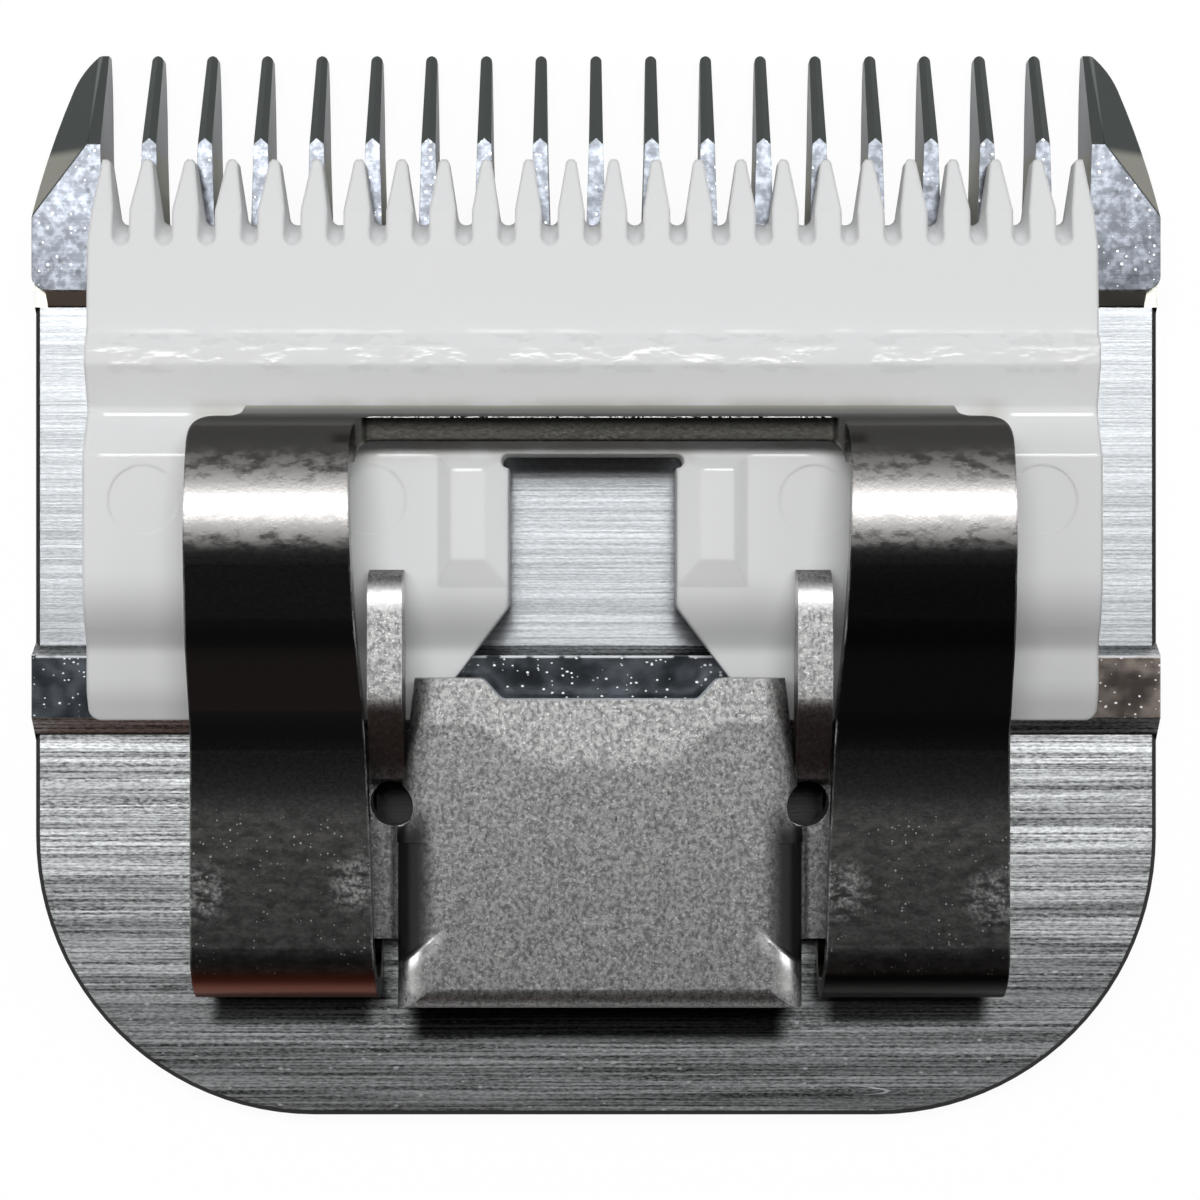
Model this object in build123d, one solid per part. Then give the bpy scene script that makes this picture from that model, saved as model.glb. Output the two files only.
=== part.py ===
from build123d import *
import math
import os

# Detachable blade set of a hair clipper, in millimetres.
# X runs across the blade, Y towards the tips of the teeth, Z away from the skin.
# The comb's flat skin side lies at Z = 0, and the origin is the middle of the set's footprint.

# Comb
combWidth = 49.0
combLength = 46.60
plateThickness = 2.35
railRise = 0.65
rearCornerRadius = 12.2
plateChamfer = 0.22
undersideChamfer = 0.3
combToothCount = 17
combPitch = 2.425
combTipWidth = 0.50
combLandWidth = 0.62
combRootWidth = 0.95
combSlotRadius = 0.62
bevelLength = 4.32
bevelApexLead = 0.27
combTipHeight = 0.85
combTipUnderside = 0.30
combNoseLength = 2.6
frontLandLength = 6.30
frontStepRun = 0.70
slotWeb = 0.80
recessLength = 14.76
rearRailFrontRun = 0.42
rearRailLength = 2.69
rearRailRearRun = 0.78
landCornerRadius = 0.58
endToothFlankStart = 7.49
endToothSweep = ((0.97, 0.82), (1.31, 1.50), (2.08, 4.20))
endBevelRun = 2.40
endBevelStart = (0.12, 0.20)

# Cutter
cutterWidth = 43.0
cutterLength = 24.11
cutterSetback = 0.80
cutterShift = -0.15
oilFilm = 0.02
cutterToothCount = 24
cutterPitch = 1.825
cutterTipWidth = 0.24
cutterToothFlare = 0.46
cutterTipLength = 0.15
cutterToothLength = 2.72
cutterGapRadius = 0.34
cutterTipHeight = 0.80
noseEnd = 2.39
noseHeight = 1.93
shelfHeight = 2.05
shelfStart = 3.85
ridgeHeight = 2.70
shelfRise = 0.20
ridgeStart = 7.65
ridgePeak = 8.25
ridgeFlat = 0.75
grooveHeight = 2.00
grooveStart = 10.74
grooveEnd = 11.06
plateauHeight = 3.00
plateauStart = 12.90
plateauEnd = 19.15
plateauRound = 4.5
rearShelfHeight = 2.15
rearShelfStart = 20.85
rearShelfRound = 2.0
rearShelfEnd = 22.90
rearEndHeight = 1.55
sectionRound = 0.25
reliefDepth = 0.35
reliefStart = 6.30
reliefEnd = 20.60
gapRamp = 1.13
slotHalfWidth = 3.55
slotFront = 12.81
slotFlareStart = 19.25
slotFlareSlope = 0.757
slotCornerRadius = 0.30
bossHeight = 0.40
bossTopStart = 13.49
bossTopEnd = 17.27
bossTopInner = 4.52
bossTopOuter = 5.96
bossFoot = 0.56
ejectorRadius = 1.48
ejectorDepth = 0.03
ejectorInset = 14.76
ejectorSpots = (9.35, 18.95)

# Tension spring
springThickness = 0.80
springHalfWidth = 17.1
armInnerFront = 10.35
armInnerMiddle = 9.85
armInnerRear = 9.30
armMiddleReach = 10.5
shoulderStep = 2.1
barLean = 18.3
barSeatSetback = 0.43
barFaceLength = 2.33
barBend = 2.3
windowRadius = 0.9
windowStart = 0.35
barTopHeight = 4.80
shoulderHeight = 4.72
shoulderRadius = 1.1
shoulderFillet = 0.5
archHeight = 6.74
archFrontReach = 4.23
archBend = 10.8
archRearHeight = 6.22
archRearReach = 9.63
archRearBend = 5.0
armDropReach = 13.65
armDropBend = 5.0
armLevel = 4.80
springRearReach = 11.04
footFrontGap = 0.45
seatGap = 0.02
assemblyShift = 0.16

# Socket
socketThickness = 1.40
socketLevel = 4.80
socketHalfWidth = 8.53
socketFrontHalfWidth = 7.81
socketBend = 1.5
flangeBend = 0.45
socketRearReach = 11.25
socketLength = 13.86
wallLength = 7.47
topOverlap = 0.5
flangeInset = 0.7
flangeRearGap = 0.05
flangeCornerRadius = 1.5
cutterClearance = 0.40
notchHalfWidth = 4.92
notchFloorHalfWidth = 4.12
notchDepth = 0.88
notchFillet = 0.36
rearLip = 0.90
reliefHoleRadius = 1.0
reliefHoleX = 8.8
reliefHoleReach = 2.78
earInnerX = 8.22
earThickness = 1.45
earTopHeight = 5.30
earFrontInset = 1.45
earNoseRadius = 1.35
earLevelLength = 5.72
earTailLength = 3.1
earTailHeight = 3.6
earStemLength = 2.2
earStemDrop = 0.6
earBend = 1.1

# Screws
screwReach = 4.8
screwShankRadius = 1.40
screwHoleClearance = 0.15
threadClearance = 0.02
screwHeadRadius = 2.55
screwHeadHeight = 1.25
screwHeadRecess = 0.08
screwEndPastFlange = 0.30
screwSlotWidth = 0.70
screwSlotDepth = 0.60
screwTurn = 25

# Places that follow from the sizes above
tipY = combLength / 2
rearY = -combLength / 2
landFrontY = tipY - bevelLength
landRearY = landFrontY - frontLandLength
recessFrontY = landRearY - frontStepRun
recessRearY = recessFrontY - recessLength
railFrontY = recessRearY - rearRailFrontRun
railRearY = railFrontY - rearRailLength
rearPlateY = railRearY - rearRailRearRun
railZ = plateThickness + railRise
combSlotRootY = landRearY + slotWeb
cutterFrontY = landFrontY - cutterSetback
cutterRearY = cutterFrontY - cutterLength
cutterZ = railZ + oilFilm
endToothX = combPitch * (combToothCount + 1) / 2
socketRearY = rearPlateY - socketRearReach
socketFrontY = socketRearY + socketLength
springRearY = rearPlateY - springRearReach
barHalfWidth = springHalfWidth - shoulderStep
flangeHalfWidth = springHalfWidth - flangeInset
footMiddle = (springHalfWidth + armInnerRear) / 2
screwY = rearPlateY - screwReach
screwXs = (assemblyShift - footMiddle, assemblyShift + footMiddle)
overshoot = 2.0
fromBelow = (Align.CENTER, Align.CENTER, Align.MIN)


def prism(face, depth):
    """Extrude a face that lies in the XY plane upwards, starting below Z = 0."""
    return Pos(0, 0, -overshoot) * extrude(face, amount=depth + 2 * overshoot, dir=(0, 0, 1))


def sideSection(points):
    """A closed face in the YZ plane through (y, z) points."""
    return Plane.YZ * make_face(Polyline(*points, close=True))


def across(face, halfWidth):
    """Extrude a face in the YZ plane the same way to both sides."""
    return extrude(face, amount=halfWidth, dir=(1, 0, 0), both=True)


def mirrored(solid):
    """The solid together with its mirror image at the other side of the blade."""
    return [solid, mirror(solid, about=Plane.YZ)]


# Comb
def combSection():
    """Section of the comb along Y: bevelled nose, front land, recess, rear rail and rear plate."""
    noseY = tipY - combNoseLength
    underside = (noseY, 0), (tipY, combTipUnderside)
    nose = ThreePointArc(underside[0], ((noseY + tipY) / 2 + 0.2, combTipUnderside * 0.33), underside[1])
    outline = [
        (tipY, combTipUnderside),
        (tipY, combTipHeight),
        (landFrontY, railZ),
        (landRearY, railZ),
        (recessFrontY, plateThickness),
        (recessRearY, plateThickness),
        (railFrontY, railZ),
        (railRearY, railZ),
        (rearPlateY, plateThickness),
        (rearY, plateThickness),
        (rearY, 0),
        (noseY, 0),
    ]
    return Plane.YZ * make_face([nose, Polyline(*outline)])


def combOutline():
    """Outline of the comb in plan, with the swept flanks of its two end teeth."""
    halfWidth = combWidth / 2
    flankY = tipY - endToothFlankStart
    tipX = endToothX + combTipWidth * 0.35
    cornerY = rearY + rearCornerRadius
    cornerMiddle = rearCornerRadius * (1 - math.sqrt(0.5))
    sweep = [(endToothX + outwards, tipY - back) for outwards, back in endToothSweep]
    right = [
        ThreePointArc((tipX, tipY), *sweep[:2]),
        ThreePointArc(*sweep[1:], (halfWidth, flankY)),
        Line((halfWidth, flankY), (halfWidth, cornerY)),
        ThreePointArc(
            (halfWidth, cornerY),
            (halfWidth - cornerMiddle, rearY + cornerMiddle),
            (halfWidth - rearCornerRadius, rearY),
        ),
    ]
    left = [mirror(edge, about=Plane.YZ) for edge in right]
    front = Line((-tipX, tipY), (tipX, tipY))
    rear = Line((rearCornerRadius - halfWidth, rearY), (halfWidth - rearCornerRadius, rearY))
    return make_face(right + left + [front, rear])


def toothOutline():
    """One comb tooth in plan, narrow at its rounded tip and wide at its root."""
    tipRadius = combTipWidth / 2
    side = [
        (combRootWidth / 2, combSlotRootY - slotWeb / 2),
        (combRootWidth / 2, combSlotRootY),
        (combLandWidth / 2, landFrontY),
        (tipRadius, tipY - tipRadius),
    ]
    flank = Polyline(*side)
    other = Polyline(*[(-x, y) for x, y in side])
    nose = ThreePointArc(side[-1], (0, tipY), (-tipRadius, tipY - tipRadius))
    root = Line(side[0], (-side[0][0], side[0][1]))
    return make_face([flank, nose, other, root])


def bevelFacet(side):
    """Plane of one facet of a tooth's gabled bevel; side is 1 or -1."""
    apex = Vector(0, landFrontY + bevelApexLead, railZ)
    shoulder = Vector(side * combLandWidth / 2, landFrontY, railZ)
    nose = Vector(0, tipY, combTipHeight)
    normal = (shoulder - apex).cross(nose - apex)
    if normal.Z < 0:
        normal = normal * -1
    return Plane(origin=apex, z_dir=normal)


def combTooth():
    """One narrow tooth, from its root to its tip."""
    section = sideSection([
        (combSlotRootY - slotWeb / 2, 0),
        (tipY - combNoseLength, 0),
        (tipY - combNoseLength * 0.4, combTipUnderside * 0.35),
        (tipY, combTipUnderside),
        (tipY, railZ),
        (combSlotRootY - slotWeb / 2, railZ),
    ])
    tooth = across(section, combPitch) & prism(toothOutline(), railZ)
    for side in (-1, 1):
        tooth = split(tooth, bisect_by=bevelFacet(side), keep=Keep.BOTTOM)
    return tooth


def toothSpace():
    """The whole comb front between the two end teeth, in plan, with rounded inner ends."""
    halfRoot = endToothX - combRootWidth / 2
    halfLand = endToothX - combLandWidth / 2
    halfTip = endToothX - combTipWidth / 2
    corners = [
        (-halfRoot, combSlotRootY),
        (halfRoot, combSlotRootY),
        (halfLand, landFrontY),
        (halfTip, tipY + overshoot),
        (-halfTip, tipY + overshoot),
        (-halfLand, landFrontY),
    ]
    return make_face(Polyline(*corners, close=True))


def slotRoot():
    """Fillets that round the root of one slot between two teeth, left standing behind a round cut."""
    halfGap = (combPitch - combRootWidth) / 2
    centreX = halfGap - combSlotRadius
    centreY = combSlotRootY + combSlotRadius
    block = Pos(0, combSlotRootY + combSlotRadius / 2) * Rectangle(2 * halfGap, combSlotRadius)
    bite = Pos(0, centreY) * Rectangle(2 * centreX, 4 * combSlotRadius)
    for side in (-1, 1):
        bite += Pos(side * centreX, centreY) * Circle(combSlotRadius)
    return block - bite


def endToothBevel():
    """The ground face that slopes off outwards at the right-hand end tooth, as a cutting block."""
    inner = Vector(endToothX + endBevelStart[0], landFrontY + endBevelStart[1], railZ)
    outer = Vector(combWidth / 2, tipY - endToothFlankStart, railZ)
    along = (outer - inner).normalized()
    outwards = Vector(-along.Y, along.X, 0)
    fall = (railZ - combTipHeight) / endBevelRun
    normal = (outwards * fall + Vector(0, 0, 1)).normalized()
    face = Plane(origin=inner, x_dir=along, z_dir=normal) * Rectangle(combWidth / 2, combWidth / 4)
    return extrude(face, amount=2 * railZ, dir=tuple(normal))


def landCorner():
    """What is rounded off the raised front land at its right-hand rear corner."""
    blunt = Pos(combWidth / 2, recessFrontY, 0) * Rectangle(2 * landCornerRadius, 2 * frontStepRun)
    centre = Pos(combWidth / 2 - landCornerRadius, landRearY + landCornerRadius)
    corner = Pos(combWidth / 2, landRearY) * Rectangle(2 * landCornerRadius, 2 * landCornerRadius)
    corner = (corner + blunt) - centre * Circle(landCornerRadius)
    corner -= centre * Pos(-combPitch, 0) * Rectangle(2 * combPitch, 2 * combPitch)
    return Pos(0, 0, plateThickness) * extrude(corner, amount=2 * railRise)


def outlineEdges(body, level):
    """The comb's outer edges at one level, along its sides, its round rear corners and its rear edge."""
    edges = [e for e in body.edges() if abs(e.center().Z - level) < 0.001 and e.length > railRise]
    side = [e for e in edges if abs(e.center().X) > combWidth / 2 - 0.001]
    corners = [e for e in edges if e.geom_type == GeomType.CIRCLE and e.center().Y < rearPlateY]
    rear = [e for e in edges if abs(e.center().Y - rearY) < 0.001]
    return side + corners + rear


def makeComb():
    body = across(combSection(), combWidth) & prism(combOutline(), railZ)
    body = chamfer(outlineEdges(body, plateThickness), plateChamfer)
    body = chamfer(outlineEdges(body, 0), undersideChamfer)
    for cut in mirrored(endToothBevel()) + mirrored(landCorner()):
        body -= cut
    body -= prism(toothSpace(), railZ)
    tooth = combTooth()
    first = -(combToothCount - 1) / 2
    teeth = [Pos((first + i) * combPitch, 0, 0) * tooth for i in range(combToothCount)]
    firstGap = -combToothCount / 2
    root = extrude(slotRoot(), amount=railZ)
    roots = [Pos((firstGap + i) * combPitch, 0, 0) * root for i in range(combToothCount + 1)]
    body = body.fuse(*teeth, *roots)
    holeRadius = screwShankRadius + screwHoleClearance
    sinkRadius = screwHeadRadius + screwHoleClearance
    sink = Cone(sinkRadius, holeRadius, sinkRadius - holeRadius, align=fromBelow)
    for x in screwXs:
        body -= Pos(x, screwY, 0) * Cylinder(holeRadius, 4 * plateThickness)
        body -= Pos(x, screwY, screwHeadRecess) * sink
        body -= Pos(x, screwY, 0) * Cylinder(sinkRadius, 2 * screwHeadRecess)
    return body


# Cutter
def cutterHeights():
    """Top line of the cutter from its tooth tips to its rear edge, as (distance back, height)."""
    return [
        (0, cutterTipHeight),
        (noseEnd, noseHeight),
        (shelfStart, shelfHeight),
        (ridgeStart, shelfHeight + shelfRise),
        (ridgePeak, ridgeHeight),
        (ridgePeak + ridgeFlat, ridgeHeight),
        (grooveStart, grooveHeight),
        (grooveEnd, grooveHeight),
        (plateauStart, plateauHeight),
        (plateauEnd, plateauHeight),
        (rearShelfStart, rearShelfHeight),
        (rearShelfEnd, rearShelfHeight),
        (cutterLength, rearEndHeight),
    ]


def cutterSection():
    """Section of the cutter along Y, hollowed underneath between its two running faces."""
    top = [(cutterFrontY - back, cutterZ + height) for back, height in cutterHeights()]
    bottom = [
        (cutterRearY, cutterZ),
        (cutterFrontY - reliefEnd, cutterZ),
        (cutterFrontY - reliefEnd + reliefDepth, cutterZ + reliefDepth),
        (cutterFrontY - reliefStart - reliefDepth, cutterZ + reliefDepth),
        (cutterFrontY - reliefStart, cutterZ),
        (cutterFrontY, cutterZ),
    ]
    face = make_face(Polyline(*top, *bottom, close=True))
    softEdges = {plateauEnd: plateauRound, rearShelfStart: rearShelfRound, rearShelfEnd: rearShelfRound}
    for back in (shelfStart, ridgeStart, ridgePeak, ridgePeak + ridgeFlat, plateauStart):
        softEdges[back] = sectionRound
    for back, radius in softEdges.items():
        corner = [v for v in face.vertices() if v.Y > cutterZ and abs(v.X - (cutterFrontY - back)) < 0.01]
        face = fillet(corner, radius)
    return Plane.YZ * face


def gapOutline():
    """The upright sides of one gap between two cutter teeth, in plan."""
    halfMouth = (cutterPitch - cutterTipWidth) / 2
    halfFlare = (cutterPitch - cutterToothFlare) / 2
    left = [
        (-halfMouth, cutterFrontY + overshoot),
        (-halfMouth, cutterFrontY),
        (-halfFlare, cutterFrontY - cutterTipLength),
        (-cutterGapRadius, cutterFrontY - cutterToothLength + cutterGapRadius),
    ]
    right = [(-x, y) for x, y in reversed(left)]
    return make_face(Polyline(*left, *right, close=True))


def cutterGap():
    """One tooth gap as a solid: upright sides, and a round root that ramps back towards the top."""
    height = overshoot + shelfHeight
    centreY = cutterFrontY - cutterToothLength + cutterGapRadius
    scoop = Pos(0, centreY) * Circle(cutterGapRadius)
    scoop += Pos(0, centreY + overshoot / 2) * Rectangle(2 * cutterGapRadius, overshoot)
    lean = Vector(0, -gapRamp, shelfHeight).normalized()
    scoop = extrude(Pos(0, 0, cutterZ) * scoop, amount=height, dir=tuple(lean))
    return scoop + Pos(0, 0, cutterZ) * extrude(gapOutline(), amount=height)


def cutterOutline():
    """The cutter in plan; the outer flanks of its end teeth flare out to its full width."""
    endTipX = (cutterToothCount - 1) / 2 * cutterPitch + cutterTipWidth / 2
    flareY = cutterFrontY - shelfStart
    corners = [
        (-endTipX, cutterFrontY),
        (-cutterWidth / 2, flareY),
        (-cutterWidth / 2, cutterRearY),
        (cutterWidth / 2, cutterRearY),
        (cutterWidth / 2, flareY),
        (endTipX, cutterFrontY),
    ]
    face = make_face(Polyline(*corners, close=True))
    rear = [v for v in face.vertices() if v.Y < cutterRearY + sectionRound]
    return fillet(rear, 2 * sectionRound)


def driveSlot():
    """The slot that the clipper's drive finger enters, with relieved front corners and a flared mouth."""
    frontY = cutterFrontY - slotFront
    flareY = cutterFrontY - slotFlareStart
    endY = cutterRearY - overshoot
    endHalf = slotHalfWidth + slotFlareSlope * (flareY - endY)
    corners = [
        (-slotHalfWidth, frontY),
        (slotHalfWidth, frontY),
        (slotHalfWidth, flareY),
        (endHalf, endY),
        (-endHalf, endY),
        (-slotHalfWidth, flareY),
    ]
    face = make_face(Polyline(*corners, close=True))
    throat = [v for v in face.vertices() if abs(v.Y - flareY) < slotCornerRadius]
    face = fillet(throat, 2 * slotCornerRadius)
    for side in (-1, 1):
        face += Pos(side * slotHalfWidth, frontY - slotCornerRadius) * Circle(slotCornerRadius)
    return face


def driveBoss():
    """The raised pad beside the drive slot, at the right-hand side."""
    base = cutterZ + plateauHeight
    frontY = cutterFrontY - bossTopStart
    endY = cutterFrontY - bossTopEnd
    centre = Pos((bossTopInner + bossTopOuter) / 2, (frontY + endY) / 2)
    top = Pos(0, 0, base + bossHeight) * centre * Rectangle(bossTopOuter - bossTopInner, frontY - endY)
    footInner = slotHalfWidth
    footOuter = bossTopOuter + bossFoot
    footFront = frontY + bossFoot
    footEnd = endY - 2 * bossFoot
    foot = Pos((footInner + footOuter) / 2, (footFront + footEnd) / 2)
    foot = Pos(0, 0, base) * foot * Rectangle(footOuter - footInner, footFront - footEnd)
    root = Pos(0, 0, base - plateauHeight / 3) * Pos((footInner + footOuter) / 2, (footFront + footEnd) / 2)
    root = extrude(root * Rectangle(footOuter - footInner, footFront - footEnd), amount=plateauHeight / 3)
    return loft([foot, top], ruled=True) + root


def makeCutter():
    body = across(cutterSection(), cutterWidth) & prism(cutterOutline(), cutterZ + plateauHeight)
    first = -(cutterToothCount - 2) / 2
    gap = cutterGap()
    gaps = [Pos((first + i) * cutterPitch, 0, 0) * gap for i in range(cutterToothCount - 1)]
    body = body.cut(*gaps)
    body = body.fuse(*mirrored(driveBoss()))
    body -= Pos(0, 0, railZ) * prism(driveSlot(), plateauHeight + bossHeight)
    markZ = cutterZ + plateauHeight - ejectorDepth
    for spot in ejectorSpots:
        for side in (-1, 1):
            mark = Pos(side * spot, cutterFrontY - ejectorInset, markZ + ejectorDepth)
            body -= mark * Cylinder(ejectorRadius, 2 * ejectorDepth)
    return Pos(cutterShift, 0, 0) * body


# Tension spring
def springSeat():
    """Where the inner corner of the spring's front edge rests on the rear slope of the cutter's groove."""
    seatY = cutterFrontY - grooveEnd - barSeatSetback
    slope = (plateauHeight - grooveHeight) / (plateauStart - grooveEnd)
    seatZ = cutterZ + grooveHeight + slope * barSeatSetback + seatGap
    return seatY, seatZ


def springSection():
    """Section of the folded strip: front bar, arch, level arm, U-bend and foot."""
    seatY, seatZ = springSeat()
    lean = math.radians(barLean)
    frontY = seatY + springThickness * math.cos(lean)
    frontZ = seatZ + springThickness * math.sin(lean)
    bendY = frontY - barFaceLength * math.sin(lean)
    bendZ = frontZ + barFaceLength * math.cos(lean)
    uRadius = armLevel / 2
    uCentreY = springRearY + uRadius
    levelZ = plateThickness + armLevel
    top = FilletPolyline(
        (frontY, frontZ),
        (bendY, bendZ),
        (frontY - archFrontReach, plateThickness + archHeight),
        (frontY - archRearReach, plateThickness + archRearHeight),
        (frontY - armDropReach, levelZ),
        (uCentreY, levelZ),
        radius=[barBend, archBend, archRearBend, armDropBend],
    )
    bend = ThreePointArc(
        (uCentreY, levelZ),
        (uCentreY - uRadius, plateThickness + uRadius),
        (uCentreY, plateThickness),
    )
    foot = Line((uCentreY, plateThickness), (rearPlateY - footFrontGap, plateThickness))
    path = Wire([*top.edges(), bend, foot])
    outline = offset(path, amount=springThickness, side=Side.LEFT)
    return Plane.YZ * make_face(outline)


def springFrontMask(splitY):
    """The strip's front as seen along Y: the full-width shoulders, the narrower bar and the window."""
    tall = plateThickness + armLevel + overshoot * 2
    shoulderZ = plateThickness + shoulderHeight
    upper = Pos(0, (shoulderZ + tall) / 2) * Rectangle(2 * springHalfWidth, tall - shoulderZ)
    upper = fillet([v for v in upper.vertices() if v.Y < tall - overshoot], shoulderRadius)
    bar = Pos(0, shoulderZ / 2) * Rectangle(2 * barHalfWidth, shoulderZ + 2 * shoulderFillet)
    bar = upper + bar
    inner = [v for v in bar.vertices() if abs(abs(v.X) - barHalfWidth) < 0.01 and abs(v.Y - shoulderZ) < 0.01]
    bar = fillet(inner, shoulderFillet)
    barTop = plateThickness + barTopHeight
    windowHeight = tall - barTop + overshoot
    window = Pos(0, barTop + windowHeight / 2) * Rectangle(2 * armInnerFront, windowHeight)
    window = fillet([v for v in window.vertices() if v.Y < tall], windowRadius)
    frontY = cutterFrontY - ridgePeak
    face = Plane(origin=(0, splitY, 0), x_dir=(1, 0, 0), z_dir=(0, -1, 0)) * (bar - window)
    return extrude(face, amount=frontY - splitY, dir=(0, 1, 0))


def springArmMask(splitY):
    """Both arms in plan, behind the front of the strip."""
    rear = springRearY - overshoot
    inner = [
        (armInnerFront, splitY),
        (armInnerMiddle, splitY - armMiddleReach),
        (armInnerRear, rear),
    ]
    curve = Spline(*inner, tangents=[(0, -1), (-0.04, -1)])
    sides = Polyline(inner[0], (springHalfWidth, splitY), (springHalfWidth, rear), inner[-1])
    return [prism(arm, 2 * armLevel + plateThickness) for arm in mirrored(make_face([curve, sides]))]


def makeSpring():
    splitY = cutterFrontY - plateauStart - windowStart
    strip = across(springSection(), springHalfWidth + overshoot)
    front = strip & springFrontMask(splitY)
    arms = [strip & mask for mask in springArmMask(splitY)]
    spring = front.fuse(*arms).clean()
    holeRadius = screwShankRadius + screwHoleClearance
    spring = Pos(assemblyShift, 0, 0) * spring
    for x in screwXs:
        spring -= Pos(x, screwY, plateThickness) * Cylinder(holeRadius, 3 * springThickness)
    return spring


# Socket
def socketSection():
    """Hat section of the socket: top, two walls and two flanges, bent from one sheet."""
    flangeZ = plateThickness + springThickness + socketThickness
    topZ = plateThickness + socketLevel
    path = FilletPolyline(
        (-flangeHalfWidth, flangeZ),
        (-socketHalfWidth, flangeZ),
        (-socketHalfWidth, topZ),
        (socketHalfWidth, topZ),
        (socketHalfWidth, flangeZ),
        (flangeHalfWidth, flangeZ),
        radius=[flangeBend, socketBend, socketBend, flangeBend],
    )
    outline = offset(Wire(path.edges()), amount=socketThickness, side=Side.RIGHT)
    return make_face(outline)


def flangeOutline():
    """Both flanges in plan, with the strip between them, ahead of the socket's open rear end."""
    frontY = cutterRearY - cutterClearance
    endY = springRearY + armLevel / 2 + flangeRearGap
    outline = Pos(0, (frontY + endY) / 2) * Rectangle(2 * flangeHalfWidth, frontY - endY)
    return fillet(outline.vertices(), flangeCornerRadius)


def socketTop():
    """The front of the socket's top in plan, narrowing forwards, with a shallow notch in its edge."""
    backY = socketRearY + wallLength
    corners = [
        (-socketHalfWidth, backY - topOverlap),
        (-socketHalfWidth, backY),
        (-socketFrontHalfWidth, socketFrontY),
        (-notchHalfWidth, socketFrontY),
        (-notchFloorHalfWidth, socketFrontY - notchDepth),
        (notchFloorHalfWidth, socketFrontY - notchDepth),
        (notchHalfWidth, socketFrontY),
        (socketFrontHalfWidth, socketFrontY),
        (socketHalfWidth, backY),
        (socketHalfWidth, backY - topOverlap),
    ]
    face = make_face(Polyline(*corners, close=True))
    front = [v for v in face.vertices() if v.Y > socketFrontY - notchDepth - notchFillet]
    return fillet([v for v in front if abs(v.X) < socketFrontHalfWidth - notchFillet], notchFillet)


def ear():
    """The right-hand ear: a tab bent up from the flange that reaches forward over the cutter."""
    flangeBottom = plateThickness + springThickness
    frontY = cutterFrontY - plateauEnd + earFrontInset
    stemFrontY = cutterRearY - cutterClearance
    stemRearY = stemFrontY - earStemLength
    topZ = plateThickness + earTopHeight
    clearZ = cutterZ + plateauHeight + cutterClearance / 2
    shelfZ = cutterZ + rearShelfHeight + cutterClearance
    levelEndY = frontY - earLevelLength
    corners = [
        (stemRearY, flangeBottom),
        (stemFrontY, flangeBottom),
        (stemFrontY, shelfZ),
        (cutterFrontY - rearShelfStart, shelfZ),
        (cutterFrontY - plateauEnd - cutterClearance / 2, clearZ),
        (frontY, clearZ),
        (frontY, topZ),
        (levelEndY, topZ),
        (levelEndY - earTailLength, plateThickness + earTailHeight),
        (stemRearY, plateThickness + earTailHeight - earStemDrop),
    ]
    face = make_face(Polyline(*corners, close=True))
    nose = [v for v in face.vertices() if v.X > frontY - 0.1 and v.Y > topZ - 0.1]
    face = fillet(nose, earNoseRadius)
    knee = [v for v in face.vertices() if abs(v.X - levelEndY) < 0.01]
    face = fillet(knee, earNoseRadius)
    tab = extrude(Plane.YZ * face, amount=earThickness, dir=(1, 0, 0))
    tab = Pos(earInnerX, 0, 0) * tab
    heel = tab.edges().filter_by(Axis.Y).group_by(Axis.Z)[0].sort_by(Axis.X)[0]
    return fillet([heel], earBend)


def makeSocket():
    flangeBottom = plateThickness + springThickness
    topZ = plateThickness + socketLevel
    hat = Plane(origin=(0, socketRearY, 0), x_dir=(1, 0, 0), z_dir=(0, -1, 0)) * socketSection()
    hat = extrude(hat, amount=wallLength, dir=(0, 1, 0))
    mask = Pos(0, socketRearY + wallLength / 2) * Rectangle(2 * socketHalfWidth, wallLength)
    hat = hat & (prism(mask, topZ) + prism(flangeOutline(), topZ))
    top = Pos(0, 0, topZ - socketThickness) * extrude(socketTop(), amount=socketThickness)
    edges = [e for e in top.edges() if e.center().Z > topZ - 0.01 and abs(e.center().X) > notchHalfWidth]
    edges = [e for e in edges if e.length > notchDepth * 3 and abs(e.tangent_at(0.5).Y) > 0.9]
    top = fillet(edges, socketThickness * 0.85)
    slab = Pos(0, 0, flangeBottom) * extrude(flangeOutline(), amount=socketThickness)
    keep = Pos(socketFrontHalfWidth, 0, 0) * Box(
        flangeHalfWidth, combLength, 2 * topZ, align=(Align.MIN, Align.CENTER, Align.CENTER)
    )
    frontPart = Pos(0, socketRearY + wallLength, 0) * Box(
        2 * combWidth, combLength, 2 * topZ, align=(Align.CENTER, Align.MIN, Align.CENTER)
    )
    flanges = mirrored(slab & keep & frontPart)
    socket = hat.fuse(top, *flanges, *mirrored(ear())).clean()
    lipBlock = Box(2 * combWidth, rearLip, rearLip, align=(Align.CENTER, Align.MIN, Align.MAX))
    lipRound = Pos(0, rearLip, -rearLip) * Rot(0, 90, 0) * Cylinder(rearLip, 2 * combWidth)
    socket -= Pos(0, socketRearY, topZ) * (lipBlock - lipRound)
    holeY = rearPlateY - reliefHoleReach
    for side in (-1, 1):
        socket -= Pos(side * reliefHoleX, holeY, plateThickness) * Cylinder(reliefHoleRadius, 4 * socketLevel)
    socket = Pos(assemblyShift, 0, 0) * socket
    for x in screwXs:
        hole = Cylinder(screwShankRadius + threadClearance, 3 * socketThickness)
        socket -= Pos(x, screwY, flangeBottom) * hole
    return socket


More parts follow.
